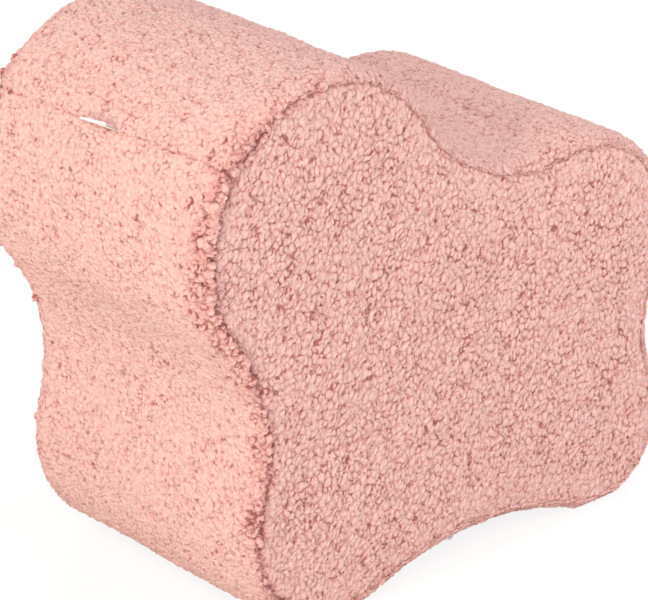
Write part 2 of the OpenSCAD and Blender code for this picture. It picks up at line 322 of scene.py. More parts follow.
def pile(q, pitch, merging, seam_distance, tufted, seed):
    """Over flat points q: how far the pile stands from the cloth's face, how open it is to light, and a shade.
    pitch is the curls' size, and merging how much they run together, from 0 to 1. seam_distance says how far
    each point is from a side seam, and tufted how many longer tufts grow there."""
    near = q + 2.0 * np.stack([soft_noise(q, 7, seed + 1), soft_noise(q, 7, seed + 2)], axis=1)
    near += 0.95 * np.stack([soft_noise(q, 2.4, seed + 3), soft_noise(q, 2.4, seed + 4)], axis=1)
    merged = merging * smooth_step(0.35 + 0.5 * merging + 1.3 * soft_noise(q, 3.1, seed + 9))
    curl, open_curl, shade = curl_field(near, pitch, seed + 5, merged)
    tuft, open_tuft, tuft_shade = curl_field(near, (TUFT_PITCH, TUFT_PITCH), seed + 6)
    patchy = 0.75 + 0.75 * soft_noise(q, 17, seed + 7)
    reach = smooth_step(1.6 * tufted * bell(seam_distance, TUFT_REACH) * patchy)
    rise = CURL_H * (curl - 1) * (1 - 0.6 * reach) + TUFT_H * reach * (tuft - 0.62)
    rise += 0.42 * soft_noise(q, 1.9, seed + 8) - 0.6
    open_tuft = 0.3 + 0.7 * smooth_step(open_tuft * 2.2)
    openness = open_curl * (1 - reach) + (0.3 * open_curl + 0.7 * open_tuft) * reach
    return rise, openness, shade * (1 - reach) + tuft_shade * reach


def drift(q, seed):
    """The slow unevenness of cloth over foam."""
    return 0.9 * soft_noise(q, 62, seed) + 0.45 * soft_noise(q, 23, seed + 1)


def painted_groove_shade(q, seed):
    """How much painted shade darkens the seam's groove in places, from 0.3 to 1."""
    return np.clip(0.75 + 0.7 * soft_noise(q, 7, seed + 31), 0.3, 1)


def in_round(flat, y):
    """Points in the round, from points of the side view and places across."""
    return np.stack([flat[:, 0], np.broadcast_to(y, len(flat)), flat[:, 1]], axis=1)


# ---- Meshes ----


def mesh_piece(name, points, faces, material, uv=None, values=None):
    """A piece from points in millimetres and lists of faces: arrays of 3 or 4 columns, or single loops."""
    sizes, corners = [], []
    for group in faces:
        group = np.asarray(group, np.int32)
        rows, width = (1, len(group)) if group.ndim == 1 else group.shape
        sizes.append(np.full(rows, width, np.int32))
        corners.append(group.ravel())
    sizes, corners = np.concatenate(sizes), np.concatenate(corners)
    mesh = bpy.data.meshes.new(name)
    mesh.vertices.add(len(points))
    mesh.vertices.foreach_set("co", (np.asarray(points, float) * MM).astype(np.float32).ravel())
    mesh.loops.add(len(corners))
    mesh.loops.foreach_set("vertex_index", corners)
    mesh.polygons.add(len(sizes))
    mesh.polygons.foreach_set("loop_start", np.concatenate([[0], np.cumsum(sizes)[:-1]]).astype(np.int32))
    mesh.polygons.foreach_set("loop_total", sizes)
    mesh.polygons.foreach_set("use_smooth", np.ones(len(sizes), bool))
    if uv is not None:
        layer = mesh.uv_layers.new(name="OFBake")
        layer.uv.foreach_set("vector", uv.astype(np.float32).ravel())
    for key, value in (values or {}).items():
        attribute = mesh.attributes.new(key, "FLOAT", "POINT")
        attribute.data.foreach_set("value", np.asarray(value, np.float32))
    mesh.update(calc_edges=True)
    mesh.validate()
    mesh.materials.append(material)
    piece = bpy.data.objects.new(name, mesh)
    bpy.context.scene.collection.objects.link(piece)
    return piece


def grid_faces(rows, columns, first=0, flip=False):
    """Quads of a grid of points, numbered row by row from first."""
    at = first + np.arange(rows * columns).reshape(rows, columns)
    quads = np.stack([at[:-1, :-1], at[:-1, 1:], at[1:, 1:], at[1:, :-1]], axis=-1).reshape(-1, 4)
    return quads[:, ::-1] if flip else quads


def zipper(one, one_at, other, other_at):
    """Triangles between two lines of points, each with rising places from 0 to 1."""
    i = j = 0
    found = []
    while i < len(one) - 1 or j < len(other) - 1:
        if j == len(other) - 1 or (i < len(one) - 1 and one_at[i + 1] <= other_at[j + 1]):
            found.append((one[i], one[i + 1], other[j]))
            i += 1
        else:
            found.append((one[i], other[j + 1], other[j]))
            j += 1
    return np.array(found, np.int32)


# ---- The strips of pile cloth ----


def section():
    """A strip's section from a side seam to its middle: places across from the side's face, and depths."""
    edge = SEAM_INSET - GROOVE_W
    turn = np.linspace(0, math.pi / 2, 40)
    bank = ROLL_DROP + (GROOVE_D - ROLL_DROP) * (1 - np.sin(turn))
    across = [[SEAM_ROOT], bank, ROLL_DROP + ROLL_W * (1 - np.cos(turn)), [HALF_W]]
    depth = [[SEAM_INSET], edge + GROOVE_W * np.cos(turn), edge * (1 - np.sin(turn)), [0]]
    return np.concatenate(across), np.concatenate(depth)


def whole_section():
    """The section from the near side seam to the far one: distance along it, place across, depth."""
    across, depth = section()
    y = np.concatenate([across - HALF_W, (HALF_W - across)[::-1][1:]])
    d = np.concatenate([depth, depth[::-1][1:]])
    along = np.concatenate([[0], np.cumsum(np.hypot(np.diff(y), np.diff(d)))])
    return along, y, d


def strip(name, start, end, seed, hump_end):
    """A strip of pile cloth from start to end round the outline, sewn at the hump with end 0 or 1, hump_end."""
    along, y_of, d_of = whole_section()
    columns = round(along[-1] / SPACING)
    rows = round((end - start) / SPACING)
    t = np.linspace(0, along[-1], columns)
    y, d = np.interp(t, along, y_of), np.interp(t, along, d_of)
    step = 0.5
    out_y = (np.interp(t + step, along, d_of) - np.interp(t - step, along, d_of)) / (2 * step)
    out_n = (np.interp(t + step, along, y_of) - np.interp(t - step, along, y_of)) / (2 * step)
    size = np.maximum(np.hypot(out_y, out_n), 1e-6)
    out_y, out_n = out_y / size, out_n / size

    def on_rows(values):
        return np.tile(values, rows)

    share, s, to_ends = strip_rows(y, rows, start, end, hump_end)
    s = s.ravel()
    q = np.stack([s, on_rows(t)], axis=1)
    to_side = on_rows(np.minimum(t, along[-1] - t))
    tufted = tuft_share(s % outline.length)
    shut = 1 - groove_share(s % outline.length)
    rise, openness, shade = pile(q, STRIP_CURL, 0.4, to_side - SEAM_ROOT, 0.1 + 0.35 * tufted, seed)
    at_hump, at_zip = to_ends[hump_end].ravel(), to_ends[1 - hump_end].ravel()
    zip_drop = on_rows(np.where(in_zip_gap(y), 1.0, CREASE_D))
    pinched = 1 + 1.1 * bell(to_side, 24)
    rise = rise - dip(at_hump, CREASE_W, CREASE_D) * pinched - dip(at_zip, CREASE_W, 1.0) * zip_drop
    rise += drift(q, seed + 20) * smooth_step(np.minimum(at_hump, at_zip) / 20)
    edge_shade = (0.2 + 0.65 * tufted) * (1 - smooth_step((to_side - 3) / 30))
    openness = (0.03 + 0.97 * openness) * (1 - edge_shade)
    # Painted shade in the side seam's groove, patchy, weaker where the groove is drawn shut.
    openness *= 1 - painted_groove_shade(q, seed) * (1 - 0.8 * shut) * bell(to_side, 5.5)
    # Painted shade in the crease at the hump's seam, patchy along it.
    gap = 0.5 + 1.3 * soft_noise(q * (0.2, 1), 7, seed + 30)
    openness *= 1 - np.clip(gap, 0, 0.9) * bell(at_hump, 1.9)
    # Where the hump's seam meets a side seam the strip dips into a notch, and its colour is darkened there as
    # painted shade.
    notch_and_shade = np.exp(-((at_hump / 5) ** 2) - (to_side / 13) ** 2)
    openness *= 1 - 0.9 * notch_and_shade
    rise = (rise - 2 * notch_and_shade) * smooth_step(to_side / 1.5)
    lip = smooth_step((SEAM_INSET - d) / GROOVE_W) * smooth_step(d / (SEAM_INSET - GROOVE_W))
    strayed = seam_wander(s) * on_rows(smooth_step(d / SEAM_INSET)) + GROOVE_W * shut * on_rows(lip)
    point, out = outline.at(s, on_rows(d) + strayed)
    bank = smooth_step((d - SEAM_INSET + GROOVE_W) / GROOVE_W) * (SEAM_ROOT - ROLL_DROP) * np.sign(y)
    flat = point + out * (on_rows(out_n) * rise)[:, None]
    flat[:, 1] = np.maximum(flat[:, 1], 0.15 * on_rows(d))
    front = in_round(flat, on_rows(y) + on_rows(out_y) * rise + 0.6 * shut * on_rows(bank))
    back, back_rows, back_columns, back_s, back_y = strip_backing(start, end, hump_end)
    faces = [grid_faces(rows, columns), grid_faces(back_rows, back_columns, len(front), flip=True)]
    at = np.arange(rows * columns).reshape(rows, columns)
    back_at = len(front) + np.arange(back_rows * back_columns).reshape(back_rows, back_columns)
    back_share = np.linspace(0, 1, back_rows)
    back_across = (back_y + HALF_W) / (2 * HALF_W)
    across = np.maximum.accumulate((y + HALF_W) / (2 * HALF_W))
    faces += [
        zipper(at[:, 0], share[:, 0], back_at[:, 0], back_share)[:, ::-1],
        zipper(at[:, -1], share[:, 0], back_at[:, -1], back_share),
        zipper(at[0], across, back_at[0], back_across),
        zipper(at[-1], across, back_at[-1], back_across)[:, ::-1],
    ]
    place = np.concatenate([q - (start, 0), np.stack([back_s - start, back_y + HALF_W], axis=1)])
    uv = strip_map(faces, place, end - start, along[-1])
    extra = len(back)
    values = {
        "openness": np.concatenate([openness, np.full(extra, 0.2)]),
        "shade": np.concatenate([shade, np.full(extra, 0.5)]),
    }
    return mesh_piece(name, np.concatenate([front, back]), faces, pile_finish, uv, values)


def in_zip_gap(y):
    return np.abs(y) < GAP_L / 2


def strip_ends(y, start, end, hump_end):
    """Where the strip starts and ends at each place across: slanted at the hump, cut back along the zip."""
    slant = hump_seam_at(y)
    cut = ZIP_GAP / 2 * smooth_step((GAP_L / 2 + 2 - np.abs(y)) / 4)
    if hump_end == 0:
        return start + slant - SEAM_LAP, end - cut
    return start + cut, end + slant + SEAM_LAP


def strip_rows(y, rows, start, end, hump_end):
    """Rows from a strip's start to its end: shares of the way, places round, and how far both ends are."""
    first, last = strip_ends(y, start, end, hump_end)
    share = np.linspace(0, 1, rows)[:, None]
    s = first * (1 - share) + last * share
    return share, s, (s - first, last - s)


def strip_backing(start, end, hump_end):
    """The back of a strip's cloth, a plain coarse grid."""
    wall = HALF_W - SEAM_ROOT
    y = np.concatenate([[-wall], np.linspace(-wall, wall, 24), [wall]])
    deep = np.full(len(y), BACKING_D)
    deep[[0, -1]] = SEAM_INSET - 1.2
    rows = round((end - start) / 9)
    _, s, to_ends = strip_rows(y, rows, start, end, hump_end)
    thin = (BACKING_D - 2.9) * (1 - smooth_step((to_ends[1 - hump_end] - 12) / 12)) * in_zip_gap(y)
    point, _ = outline.at(s.ravel(), (deep - thin).ravel())
    y_all = np.tile(y, rows)
    return in_round(point, y_all), rows, len(y), s.ravel(), y_all


def strip_map(faces, place, length, width, rows=2):
    """A map of a strip's faces: its front in rows of equal length, its back in a thin band above them."""
    found = []
    for k, group in enumerate(faces):
        at = place[group]
        if k == 0:
            row = np.floor(at[:, :, 0].min(1) / length * rows).clip(0, rows - 1)[:, None]
            u = 0.985 * (at[:, :, 0] / length * rows - row) + 0.005
            v = 0.94 / rows * (row + 0.01 + 0.97 * at[:, :, 1] / width)
        else:
            u = 0.985 * at[:, :, 0] / length + 0.005
            v = 0.95 + 0.045 * at[:, :, 1] / width
        found.append(np.stack([u, v], axis=-1).reshape(-1, 2))
    return np.concatenate(found).clip(0, 1)


# ---- The side panels ----


def lattice():
    """Points of a square lattice inside the side seam's line, those beside it pulled onto it: places in the
    side view, distances from the seam, ways in, nearest places along the outline, and a grid of their numbers
    with -1 where there is none."""
    places = np.arange(0, outline.length, 0.8)
    seam, seam_out = outline.at(places, SEAM_INSET + seam_wander(places))
    x = np.arange(seam[:, 0].min() - SPACING, seam[:, 0].max() + SPACING, SPACING)
    z = np.arange(seam[:, 1].min() - SPACING, seam[:, 1].max() + SPACING, SPACING)
    grid = np.stack(np.meshgrid(x, z, indexing="ij"), axis=-1)
    flat = grid.reshape(-1, 2)
    inward = np.empty(len(flat))
    way = np.empty((len(flat), 2))
    beside = np.empty(len(flat))
    for part in np.array_split(np.arange(len(flat)), 60):
        gap = ((flat[part, None, :] - seam[None]) ** 2).sum(-1)
        nearest = gap.argmin(1)
        away = flat[part] - seam[nearest]
        way[part] = -seam_out[nearest]
        beside[part] = places[nearest]
        inside = (away * way[part]).sum(1)
        inward[part] = np.sign(inside) * np.maximum(np.abs(inside), np.sqrt(gap.min(1)) - 0.1)
    kept = inward > -0.5 * SPACING
    snapped = np.abs(inward) <= 0.5 * SPACING
    flat = np.where(snapped[:, None], flat - way * inward[:, None], flat)
    inward = np.where(snapped, 0, inward)
    number = np.where(kept, np.cumsum(kept) - 1, -1).reshape(grid.shape[:2])
    return flat[kept], inward[kept], way[kept], beside[kept], number


def lattice_faces(number):
    corners = [number[:-1, :-1], number[1:, :-1], number[1:, 1:], number[:-1, 1:]]
    corners = np.stack(corners, axis=-1).reshape(-1, 4)
    there = (corners >= 0).sum(1)
    triangles = np.array([[n for n in row if n >= 0] for row in corners[there == 3]], np.int32)
    return corners[there == 4], triangles


def border(faces):
    """The one closed line of edges that only one face uses, in order."""
    edges = [np.stack([f, np.roll(f, -1, axis=1)], axis=-1).reshape(-1, 2) for f in faces]
    edges = np.concatenate(edges)
    known = {tuple(e) for e in edges.tolist()}
    onward = {a: b for a, b in known if (b, a) not in known}
    start = next(iter(onward))
    line, here = [start], onward[start]
    while here != start:
        line.append(here)
        here = onward[here]
    return np.array(line)


def side_panel(name, side, seed):
    """A panel of pile cloth at the -Y side (side -1) or the +Y side (side 1)."""
    flat, inward, way, beside, number = lattice()
    open_share = groove_share(beside)
    width = PANEL_GROOVE_W * (0.25 + 0.75 * open_share)
    quads, triangles = lattice_faces(number)
    q = flat + PANEL_FIELD_AT
    rise, openness, shade = pile(q, PANEL_CURL, 0.22, inward + 4, 0.4, seed)
    rise += drift(q, seed + 20) * smooth_step(inward / 30) + 1.2 * smooth_step(inward / 70)
    level = 1.4 + 0.8 * open_share
    deep = ROLL_DROP + (SEAM_ROOT - ROLL_DROP) * (0.4 + 0.6 * open_share) - level
    drop = dip(inward, width, deep) + level * np.exp(-inward / 12)
    openness = (openness - 0.04) * 1.06
    # Painted shade in the side seam's groove, patchy, only where the groove is open.
    openness *= 1 - painted_groove_shade(q, seed) * open_share * bell(inward, 4.5)
    slope = (dip(inward + 0.3, width, deep) - dip(inward, width, deep)) / 0.3
    tilt = np.clip(-slope, 0, 1.2)
    size = np.sqrt(1 + tilt * tilt)
    rise = rise * (inward > 0)
    spread = flat - way * (tilt / size * rise)[:, None]
    spread[:, 1] = np.maximum(spread[:, 1], 0.2)
    front = in_round(spread, side * (HALF_W - drop + rise / size))
    line = border([quads, triangles])
    count = len(line)
    ring_in = flat[line] + way[line] * 1.6
    ring_back = flat[line] + way[line] * 3.2
    back = np.concatenate([
        in_round(ring_in, side * (HALF_W - SEAM_ROOT - 0.6)),
        in_round(ring_back, side * (HALF_W - BACKING_D)),
    ])
    first = len(front)
    ring_one, ring_two = first + np.arange(count), first + count + np.arange(count)
    faces = [
        quads,
        triangles,
        np.stack([line, ring_one, np.roll(ring_one, -1), np.roll(line, -1)], axis=1)[:, ::-1],
        np.stack([ring_one, ring_two, np.roll(ring_two, -1), np.roll(ring_one, -1)], axis=1)[:, ::-1],
        ring_two[::-1][None, :],
    ]
    if side > 0:
        faces = [f[:, ::-1] for f in faces]
    uv = panel_map(faces, np.concatenate([flat, ring_in, ring_back]))
    values = {
        # Points on the seam's line take an openness of 0.2, which is painted shade at the groove's bottom; the
        # hidden edge and back take it too.
        "openness": np.concatenate([np.where(inward > 0.6, openness, 0.2), np.full(2 * count, 0.2)]),
        "shade": np.concatenate([shade, np.full(2 * count, 0.5)]),
    }
    return mesh_piece(name, np.concatenate([front, back]), faces, pile_finish, uv, values)


def panel_map(faces, place):
    """A map of a panel's faces: its front as it lies, its edge and back in a thin band above."""
    low = place.min(0)
    size = (place.max(0) - low).max()
    found = []
    for k, group in enumerate(faces):
        at = (place[group] - low) / size
        if k < 2:
            at = at * 0.94 + 0.003
        else:
            at = at * (0.98, 0.045) + (0.01, 0.95)
        found.append(at.reshape(-1, 2))
    return np.concatenate(found).clip(0, 1)


# ---- Ball-shaped tufts beside the side seams ----


def tuft_places(count, side, random):
    """Places round the outline and along a strip's section for tufts: thickest beside the hump's seam, fewer
    down the back and few elsewhere."""
    s = random.random(6 * count) * outline.length
    clumps = soft_noise(np.stack([s, 0 * s], axis=1), 16, SEED + side)
    odds = tuft_share(s) * np.clip(0.7 + 0.9 * clumps, 0.1, 1)
    s = s[random.random(len(s)) < odds][:count]
    return s, TUFT_FROM + random.exponential(TUFT_SPREAD, len(s)).clip(0, 4 * TUFT_SPREAD)


def edge_tufts(name, side, count, seed):
    """Lumpy balls of pile, half sunk in the strips, at the -Y side (side -1) or the +Y side (side 1)."""
    random = np.random.default_rng(seed)
    build = bmesh.new()
    bmesh.ops.create_icosphere(build, subdivisions=3, radius=1)
    ball = np.array([v.co[:] for v in build.verts])
    faces = np.array([[v.index for v in f.verts] for f in build.faces])
    build.free()
    along, y_of, d_of = whole_section()
    s, t = tuft_places(count, side, random)
    count = len(s)
    y, depth = np.interp(t, along, y_of), np.interp(t, along, d_of)
    point, out = outline.at(s, depth + seam_wander(s) * smooth_step(depth / SEAM_INSET))
    lean = smooth_step(1 - (t - TUFT_FROM) / 18)
    up = in_round(out * (1 - 0.7 * lean)[:, None], -lean)
    up /= np.linalg.norm(up, axis=1, keepdims=True)
    radius = random.uniform(*TUFT_R, count) * (1 - 0.3 * smooth_step((t - TUFT_FROM) / 30))
    centre = in_round(point, y) + up * (radius * random.uniform(-0.6, 0.1, count))[:, None]
    stretch = random.uniform(0.8, 1.2, (count, 3))
    ridge = random.normal(0, 2.6, (count, 3, 3))
    phase = random.uniform(0, math.tau, (count, 3))
    lumps = np.sin(np.einsum("vk,cjk->cvj", ball, ridge) + phase[:, None]).sum(-1)
    shape = ball[None] * (1 + 0.09 * lumps)[..., None] * stretch[:, None]
    longer = random.uniform(0, 0.5, count) * lean
    shape += np.einsum("cvk,ck->cv", shape, up)[..., None] * (up * longer[:, None])[:, None]
    points = centre[:, None] + radius[:, None, None] * shape
    height = np.einsum("cvk,ck->cv", shape, up)
    if side > 0:
        points[..., 1] *= -1
        faces = faces[:, ::-1]
    points[..., 2] = np.maximum(points[..., 2], 0.3)
    all_faces = faces[None] + (np.arange(count) * len(ball))[:, None, None]
    # Each ball's colour is darker low down and paler on top: painted shade.
    values = {
        "openness": (0.32 * height + 0.1 * lumps).clip(0, 1).ravel(),
        "shade": np.repeat(random.random(count), len(ball)),
    }
    return mesh_piece(name, points.reshape(-1, 3), [all_faces.reshape(-1, 3)], pile_finish, values=values)


# ---- The foam, and the liner round it ----


def ring_faces(rings, around):
    """Quads between closed rings of points, numbered ring by ring."""
    at = np.arange(rings * around).reshape(rings, around)
    onward = np.roll(at, -1, axis=1)
    return np.stack([at[:-1], onward[:-1], onward[1:], at[1:]], axis=-1).reshape(-1, 4)


def ring_ends(rings, around):
    """The two loops that close the first ring and the last."""
    return [np.arange(around)[::-1], np.arange(around) + (rings - 1) * around]


def rounded(corners, radius, steps=5):
    """A line through corners, each turned with a short curve."""
    corners = np.asarray(corners, float)
    share = np.linspace(0, 1, steps)[:, None]
    found = [corners[:1]]
    for before, corner, after in zip(corners[:-2], corners[1:-1], corners[2:]):
        ends = []
        for other in (before, after):
            length = np.linalg.norm(other - corner)
            ends.append(corner + (other - corner) / length * min(radius, length / 2))
        found.append((1 - share) ** 2 * ends[0] + 2 * share * (1 - share) * corner + share ** 2 * ends[1])
    found.append(corners[-1:])
    return np.concatenate(found)


def block_profile(grown, radius):
    """The block's section from one side face to the other, as places across and depths, grown all round."""
    side = PANEL_Y - LINER_T + grown
    tuck = PANEL_Y - ALLOWANCE_D - SLACK + grown
    deep = SEAM_INSET + ALLOWANCE_T + SLACK + LINER_T - grown
    face = CLOTH_T + LINER_T - grown
    half = [(side, deep + 4 * radius), (side, deep), (tuck, deep), (tuck, face)]
    return rounded([(-y, d) for y, d in half] + half[::-1], radius)


def wrapped(profile, around):
    """Points of rings round the block, one ring for each place across and depth of the profile."""
    point, _ = outline.at(np.tile(around, len(profile)), np.repeat(profile[:, 1], len(around)))
    return in_round(point, np.repeat(profile[:, 0], len(around)))


def foam_block(name):
    """The foam, cut from a block with a wire, its edges softened."""
    around = np.arange(0, outline.length - 1, 4.0)
    profile = block_profile(0, 4)
    size = len(profile), len(around)
    return mesh_piece(name, wrapped(profile, around), [ring_faces(*size), *ring_ends(*size)], foam_finish)


def liner_bag(name):
    """The thin bag, with its slit over the zip."""
    slit = ZIP_SEAM + np.array([-SLIT_W / 2, SLIT_W / 2])
    around = np.arange(0, outline.length - 1, 4.0)
    before, after = around[around < slit[0] - 1], around[around > slit[1] + 1]
    around = np.concatenate([before, slit, after, [outline.length - 0.3]])
    profile = block_profile(LINER_T, 3)
    middle = np.linspace(-SLIT_L / 2, SLIT_L / 2, 39)
    face = np.full(len(middle), profile[:, 1].min())
    half = len(profile) // 2
    profile = np.concatenate([profile[:half], np.stack([middle, face], axis=1), profile[half:]])
    count = len(around)
    faces = ring_faces(len(profile), count)
    s_of, y_of = np.tile(around, len(profile)), np.repeat(profile[:, 0], count)
    s_mid, y_mid = s_of[faces].mean(1), y_of[faces].mean(1)
    in_slit = (np.abs(s_mid - ZIP_SEAM) < SLIT_W / 2) & (np.abs(y_mid) < SLIT_L / 2)
    faces = [faces[~in_slit], *ring_ends(len(profile), count)]
    values = {"along": s_of, "across": y_of}
    piece = mesh_piece(name, wrapped(profile, around), faces, liner_finish, values=values)
    thick = piece.modifiers.new("thickness", "SOLIDIFY")
    thick.thickness = LINER_T * MM
    thick.offset = -1
    return piece


# ---- Thread ----


def evenly(depth, pitch):
    """Places round the outline that lie one pitch apart at a depth."""
    s = np.linspace(0, outline.length, 4000)
    point, _ = outline.at(s, depth)
    along = np.concatenate([[0], np.cumsum(np.hypot(*np.diff(point, axis=0).T))])
    count = round(along[-1] / pitch)
    return np.interp(np.arange(count) * along[-1] / count, along, s)


def stitches(name, middle, way, up):
    """Stitches with these middles. Each lies along its way, and its ends dip into the cloth."""
    along = np.array([-1, -0.93, -0.6, 0, 0.6, 0.93, 1])
    girth = THREAD_R * np.array([0.3, 0.75, 1, 1, 1, 0.75, 0.3])
    turn = np.arange(8) * math.tau / 8
    way = way / np.linalg.norm(way, axis=1, keepdims=True)
    beside = np.cross(way, up)
    centre = middle[:, None] + way[:, None] * (along * STITCH_L / 2)[:, None]
    centre -= up[:, None] * (0.25 * along ** 2)[:, None]
    spoke = np.cos(turn)[:, None] * beside[:, None] + np.sin(turn)[:, None] * up[:, None]
    points = centre[:, :, None] + girth[:, None, None] * spoke[:, None]
    rings, sides = len(along), len(turn)
    first = np.arange(len(middle)) * rings * sides
    tube = [ring_faces(rings, sides), *(end[None] for end in ring_ends(rings, sides))]
    faces = [(f[None] + first[:, None, None]).reshape(-1, f.shape[-1]) for f in tube]
    return mesh_piece(name, points.reshape(-1, 3), faces, thread_finish)


def at_place(s, y, depth):
    """Points for places round the outline, places across and depths, and the way out at each."""
    flat, out = outline.at(s, depth)
    return in_round(flat, y), in_round(out, 0)


def side_stitches(name, side):
    s = evenly(SEAM_INSET, STITCH_PITCH)
    middle, out = at_place(s, side * (PANEL_Y - SIDE_THREAD_D), SEAM_INSET + seam_wander(s))
    return stitches(name, middle, np.cross(out, (0, -1, 0)), out)


def hump_stitches(name):
    reach = PANEL_Y - ALLOWANCE_D - STITCH_PITCH / 2
    y = np.tile(np.linspace(-reach, reach, round(2 * reach / STITCH_PITCH) + 1), 2)
    off = np.repeat([-SEAM_THREAD_OFF, SEAM_THREAD_OFF], len(y) // 2)
    middle, out = at_place(HUMP_SEAM + hump_seam_at(y) + off, y, SEAM_THREAD_D)
    way = np.array([0, 1, 0]) + SEAM_SLANT * np.cross(out, (0, -1, 0))
    return stitches(name, middle, way, out)


def arch_stitches(name):
    """One stitch each side of the arch's seam, past each end of the zip."""
    y = np.array([-1, -1, 1, 1]) * (PANEL_Y - ALLOWANCE_D - STITCH_PITCH / 2)
    off = np.array([-1, 1, -1, 1]) * 2 * THREAD_R * 2
    middle, out = at_place(ZIP_SEAM + off, y, CLOTH_T / 2 + THREAD_R)
    return stitches(name, middle, np.tile([0.0, 1.0, 0.0], (4, 1)), out)


def zip_stitches(name):
    """A line of stitches down each tape."""
    low, high = box_of("zip_thread")
    count = round((high[1] - low[1]) / STITCH_PITCH)
    y = (np.arange(count) - (count - 1) / 2) * STITCH_PITCH
    rows = [np.stack([np.full(count, x), y, np.full(count, low[2] + THREAD_R / 2)], axis=1)
            for x in (low[0] + THREAD_R, high[0] - THREAD_R)]
    up = np.tile([0.0, 0.0, 1.0], (2 * count, 1))
    return stitches(name, np.concatenate(rows), np.tile([0.0, 1.0, 0.0], (2 * count, 1)), up)


# ---- The label and the tapes ----


def folded_label(name):
    """A strip of satin folded over, both ends sewn into the hump's seam. It has nothing on it."""
    columns = 40
    share = np.linspace(0, 1, columns)
    y = LABEL_Y - LABEL_W / 2 + LABEL_W * share
    apart = 0.2 + 0.55 * np.sin(math.pi * share) ** 0.7
    leg = np.linspace(0, 1, 12)
    bend = np.linspace(-math.pi / 2, math.pi / 2, 9)[1:-1]
    reach = LABEL_OUT + LABEL_TAIL
    loops = []
    for half in apart:
        open_by = half * smooth_step(leg * reach / LABEL_TAIL / 1.6) + 0.5 * SATIN_T
        end = open_by[-1]
        straight = leg * (reach - end)
        path_out = np.concatenate([straight, reach - end + end * np.cos(bend), straight[::-1]])
        path_up = np.concatenate([-open_by, end * np.sin(bend), open_by[::-1]])
        way = np.stack([np.gradient(path_out), np.gradient(path_up)], axis=1)
        way /= np.linalg.norm(way, axis=1, keepdims=True)
        off = np.stack([way[:, 1], -way[:, 0]], axis=1) * SATIN_T / 2
        path = np.stack([path_out, path_up], axis=1)
        loops.append(np.concatenate([path + off, (path - off)[::-1]]))
    loops = np.array(loops)
    out_by, up_by = loops[:, :, 0] - LABEL_TAIL, loops[:, :, 1]
    free = np.clip(out_by / LABEL_OUT, 0, 1)
    wave = 0.7 * np.sin(math.tau * (share * 0.8 + 0.1)) + 0.25 * np.sin(math.tau * 1.7 * share)
    wave = wave[:, None]
    up_by = up_by + wave * free ** 1.4 - 0.6 * free ** 2
    seam, out = at_place(HUMP_SEAM + SEAM_SLANT * y, y, 0)
    onward = np.cross(out, (0, -1, 0))
    points = seam[:, None] + out[:, None] * out_by[..., None] + onward[:, None] * up_by[..., None]
    count = loops.shape[1]
    ends = []
    half = count // 2
    for row, flip in ((0, False), (columns - 1, True)):
        at = row * count + np.arange(count)
        quads = np.stack([at[:half - 1], at[1:half], at[::-1][1:half], at[::-1][:half - 1]], axis=1)
        ends.append(quads[:, ::-1] if flip else quads)
    values = {"along": np.repeat(y, count), "across": np.tile(loops[0, :, 0], columns)}
    faces = [ring_faces(columns, count), *ends]
    return mesh_piece(name, points.reshape(-1, 3), faces, satin_finish, values=values)


def zip_tape(name, node):
    """A woven tape, thin at its edges and ribbed along its length."""
    low, high = box_of(node)
    rows = 160
    u = np.linspace(0, 1, 60)
    x = low[0] + (high[0] - low[0]) * u
    middle, half = (low[2] + high[2]) / 2, (high[2] - low[2]) / 2
    ribs = 0.06 * np.cos(math.tau * (x - low[0]) / 1.1)
    rise = half * np.sqrt(1 - (2 * u - 1) ** 12) - 0.06 + ribs * (1 - (2 * u - 1) ** 12)
    under, over = np.stack([x, middle - rise], axis=1), np.stack([x, middle + rise], axis=1)
    section = np.concatenate([under, over[::-1][1:-1]])
    y = np.linspace(low[1], high[1], rows)
    wobble = 0.07 * np.sin(y / 9) + 0.05 * np.sin(y / 3.7)
    points = np.empty((rows, len(section), 3))
    points[:, :, 0] = section[:, 0]
    points[:, :, 1] = y[:, None]
    points[:, :, 2] = section[:, 1] + wobble[:, None] * np.abs((section[:, 0] - ZIP_X) / 14) ** 2
    faces = [ring_faces(rows, len(section)), *ring_ends(rows, len(section))]
    return mesh_piece(name, points.reshape(-1, 3), faces, tape_finish)


# ---- Finishes ----


def open_socket(sockets, key):
    """A node's socket by number, or by name among those that its settings leave open."""
    return sockets[key] if isinstance(key, int) else next(s for s in sockets if s.name == key and s.enabled)


class Wire:
    """A shader socket that takes Python arithmetic; each operation on it adds its Math node."""

    def __init__(self, finish, socket):
        self.finish = finish
        self.socket = socket

    def _math(self, operation, a, b):
        return self.finish.node("ShaderNodeMath", {"operation": operation}, {0: a, 1: b})

    def __add__(self, other):
        return self._math("ADD", self, other)

    def __sub__(self, other):
        return self._math("SUBTRACT", self, other)

    def __mul__(self, other):
        return self._math("MULTIPLY", self, other)

    def __rsub__(self, other):
        return self._math("SUBTRACT", other, self)

    def waves(self):
        """From 0 to 1 and back each time the value grows by 1."""
        return self._math("SINE", self * math.tau, 0) * 0.5 + 0.5

    __radd__ = __add__
    __rmul__ = __mul__


